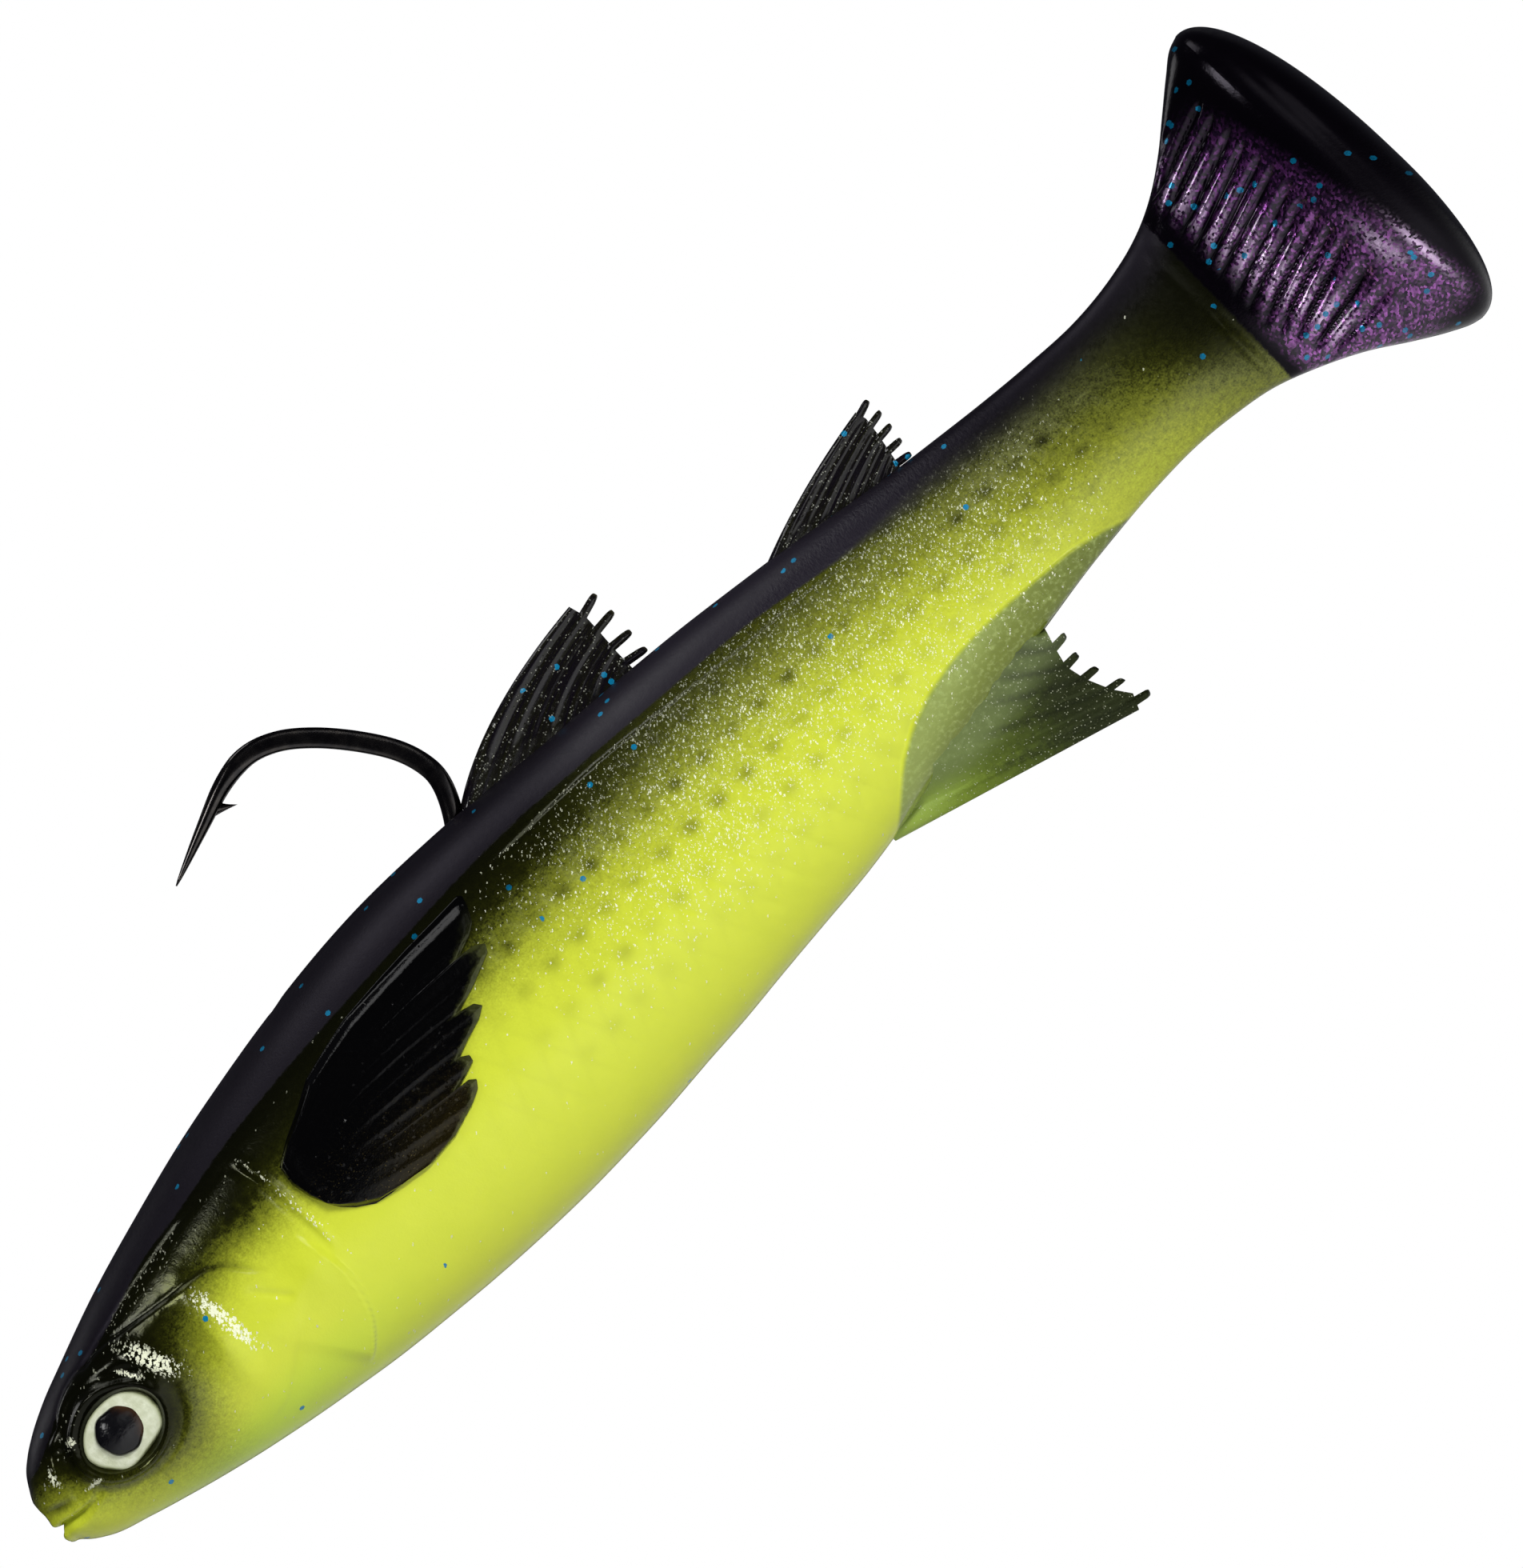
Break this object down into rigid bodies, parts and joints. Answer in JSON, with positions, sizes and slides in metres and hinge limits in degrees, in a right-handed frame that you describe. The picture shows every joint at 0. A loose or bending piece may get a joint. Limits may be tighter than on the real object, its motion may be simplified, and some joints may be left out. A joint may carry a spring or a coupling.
{
  "type": "swimbait",
  "caption": "Soft-plastic fishing lure shaped as a mullet with a paddle tail, fins and eyes, cast round a weighted jig hook whose bend stands above the back.",
  "frame": {"origin": "centre of the hook's eye, where the line is tied, in the middle of the mouth", "axes": "+X from the snout to the tail, +Z from the belly to the back, -Y out of the left flank"},
  "size_m": [0.127, 0.0188, 0.0409],
  "materials": {
    "belly_plastic": "glossy soft plastic, chartreuse with fine glitter",
    "back_plastic": "satin soft plastic, purple-black with sparse blue flakes",
    "tail_plastic": "glossy black soft plastic with purple glitter",
    "fin_plastic": "glossy soft plastic, black-olive",
    "anal_fin_plastic": "glossy translucent soft plastic, olive",
    "hook_steel": "black nickel plate",
    "lead": "cast lead",
    "eye_paint": "cream paint",
    "pupil_paint": "black, glossy"
  },
  "bodies": {
    "front": {"body_front": "belly_plastic", "back_front": "back_plastic", "pectoral_fin_left": "fin_plastic", "pectoral_fin_right": "fin_plastic", "eye_ring_left": "eye_paint", "eye_ring_right": "eye_paint", "eye_pupil_left": "pupil_paint", "eye_pupil_right": "pupil_paint", "jig_hook": "hook_steel", "lead_ballast": "lead"},
    "middle": {"body_middle": "belly_plastic", "back_middle": "back_plastic"},
    "rear": {"body_rear": "belly_plastic", "back_rear": "back_plastic"},
    "tail": {"tail_paddle": "tail_plastic"},
    "first_dorsal": {"first_dorsal_fin": "fin_plastic"},
    "second_dorsal": {"second_dorsal_fin": "fin_plastic"},
    "anal": {"anal_fin": "anal_fin_plastic"}
  },
  "joints": [
    {"name": "body_bend", "type": "hinge", "parent": "front", "child": "middle", "pos_m": [0.07249, 0, 0.001], "axis": [0, 0, 1], "range_deg": [-25, 25], "stiffness_Nm_per_rad": 0.025},
    {"name": "rear_bend", "type": "hinge", "parent": "middle", "child": "rear", "pos_m": [0.09108, 0, 0.001], "axis": [0, 0, 1], "range_deg": [-30, 30], "stiffness_Nm_per_rad": 0.0045},
    {"name": "tail_wag", "type": "hinge", "parent": "rear", "child": "tail", "pos_m": [0.10193, 0, 0.001], "axis": [0, 0, 1], "range_deg": [-55, 55], "stiffness_Nm_per_rad": 0.0015},
    {"name": "first_dorsal_fold", "type": "hinge", "parent": "front", "child": "first_dorsal", "pos_m": [0.05, 0, 0.01461], "axis": [0.9941, 0, -0.1086], "range_deg": [-70, 70], "stiffness_Nm_per_rad": 0.00005},
    {"name": "second_dorsal_fold", "type": "hinge", "parent": "middle", "child": "second_dorsal", "pos_m": [0.0743, 0, 0.0117], "axis": [0.9841, 0, -0.1779], "range_deg": [-70, 70], "stiffness_Nm_per_rad": 0.00003},
    {"name": "anal_fin_fold", "type": "hinge", "parent": "middle", "child": "anal", "pos_m": [0.0676, 0, -0.00952], "axis": [0.988, 0, 0.1545], "range_deg": [-60, 60], "stiffness_Nm_per_rad": 0.00005}
  ]
}
